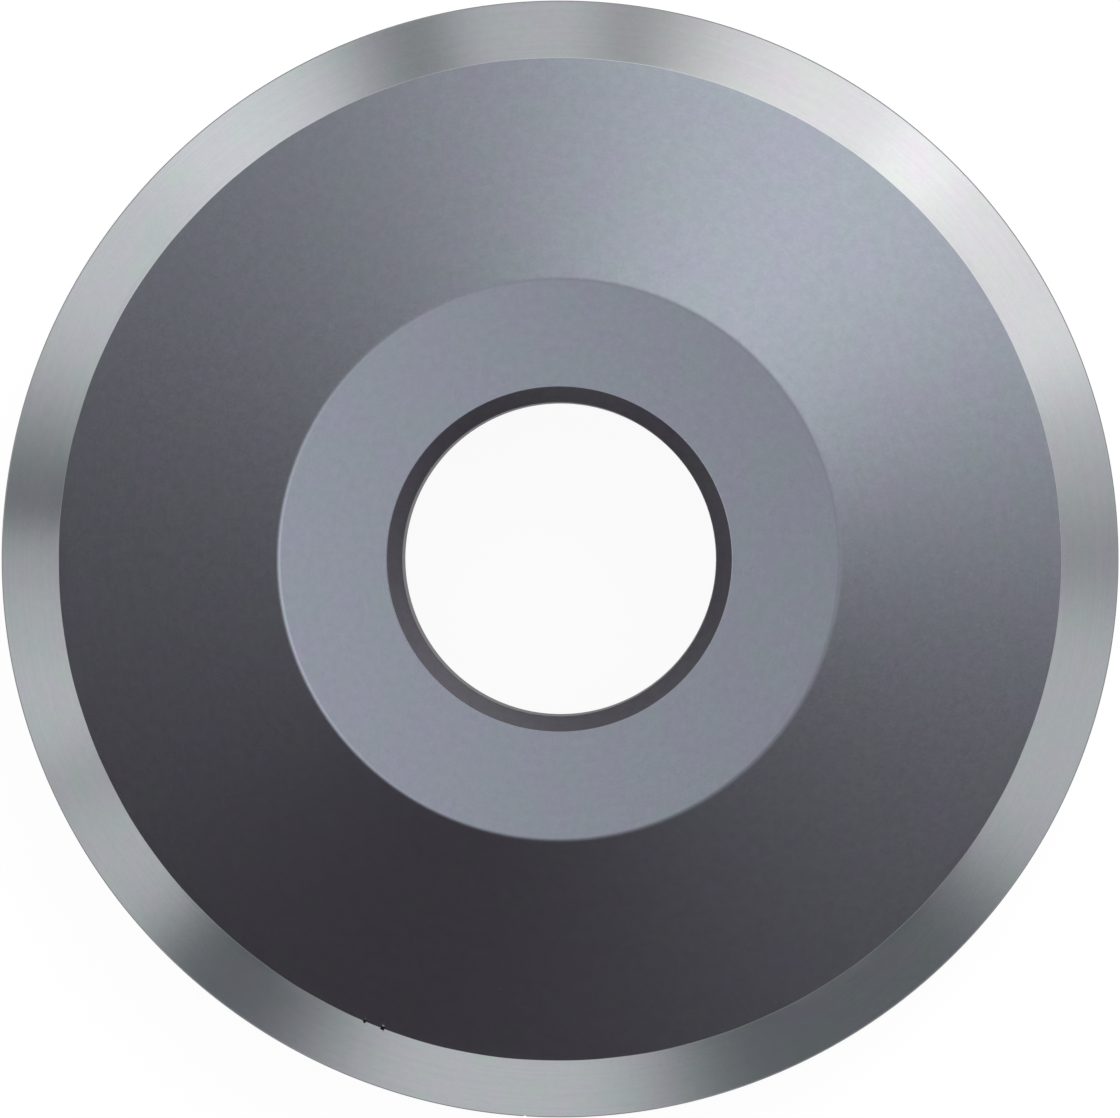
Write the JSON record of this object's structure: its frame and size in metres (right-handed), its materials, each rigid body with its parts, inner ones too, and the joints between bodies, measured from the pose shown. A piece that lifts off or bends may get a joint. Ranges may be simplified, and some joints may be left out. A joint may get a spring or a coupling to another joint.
{
  "type": "tile cutter wheel",
  "caption": "Scoring wheel for a tile cutter: a thick bored hub with flat faces, sloping flanks and two ground bevels that meet in a round cutting edge.",
  "frame": {"origin": "centre of the wheel, on its axis and midway between the two hub faces", "axes": "+Z along the axis that the wheel turns on; the wheel lies on its lower hub face"},
  "size_m": [0.022, 0.022, 0.005],
  "materials": {
    "carbide": "tungsten carbide: finely ground bevels, satin flanks and hub faces, dark bore"
  },
  "bodies": {
    "root": {"cutter_wheel": "carbide"}
  },
  "joints": []
}
